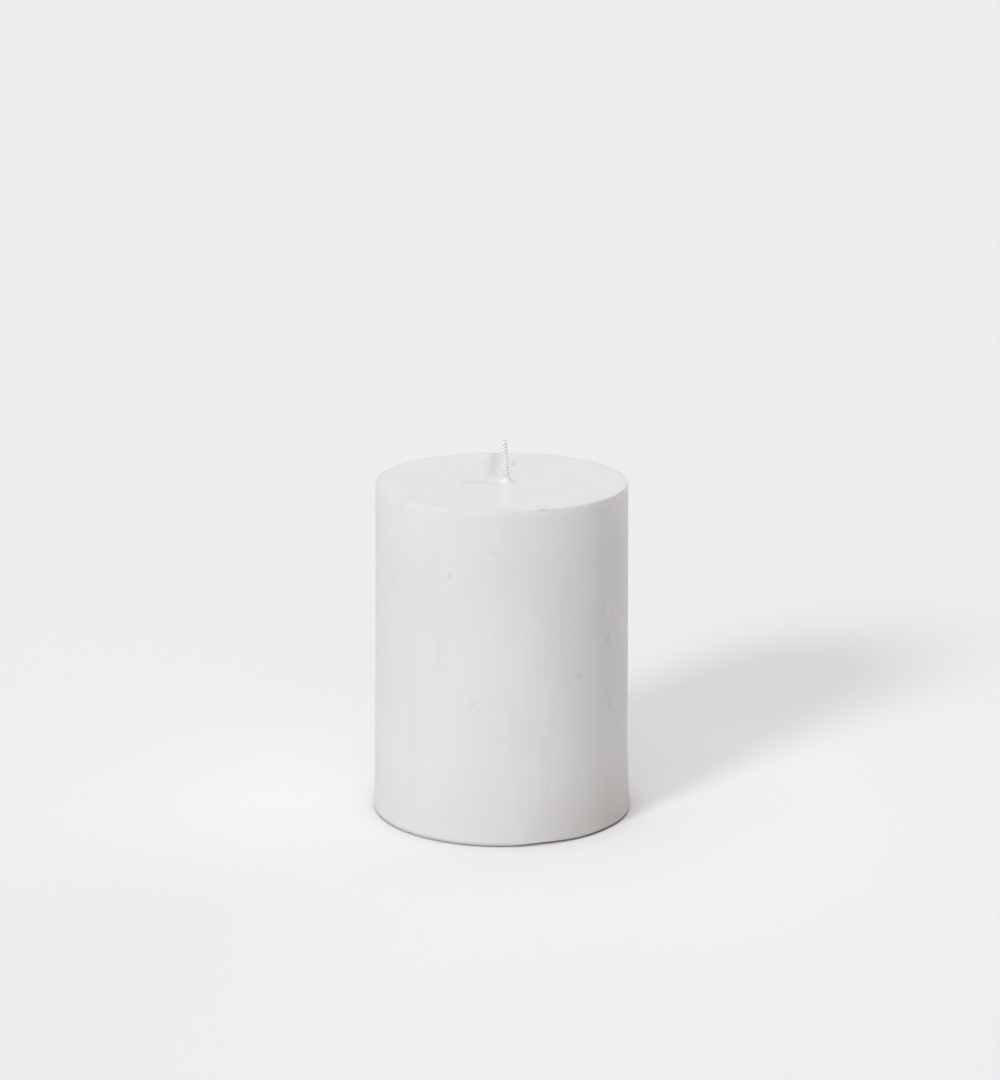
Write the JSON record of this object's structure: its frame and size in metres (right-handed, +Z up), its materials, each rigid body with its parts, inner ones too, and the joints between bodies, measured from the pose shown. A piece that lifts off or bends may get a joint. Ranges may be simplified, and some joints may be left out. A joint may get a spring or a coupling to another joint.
{
  "type": "unity candle",
  "caption": "Short plain round pillar candle in white wax, with a rounded rim and one braided wick, for a wedding unity ceremony.",
  "frame": {"origin": "centre of the base, on the surface that the candle stands on", "axes": "+Z up along the candle's height, -Y towards the front, +X to the right seen from the front"},
  "size_m": [0.077, 0.077, 0.1122],
  "materials": {
    "core_wax": "pressed white paraffin wax, matt and slightly grainy",
    "dip_wax": "smooth, hard, white dipping wax with a soft low sheen, translucent at thin edges",
    "waxed_cotton": "braided cotton primed with white wax",
    "tinplate": "thin stamped tin-plated steel"
  },
  "bodies": {
    "root": {"wax_core": "core_wax", "wax_overdip": "dip_wax", "wick_plait_1": "waxed_cotton", "wick_plait_2": "waxed_cotton", "wick_plait_3": "waxed_cotton", "wick_sustainer": "tinplate"}
  },
  "joints": []
}
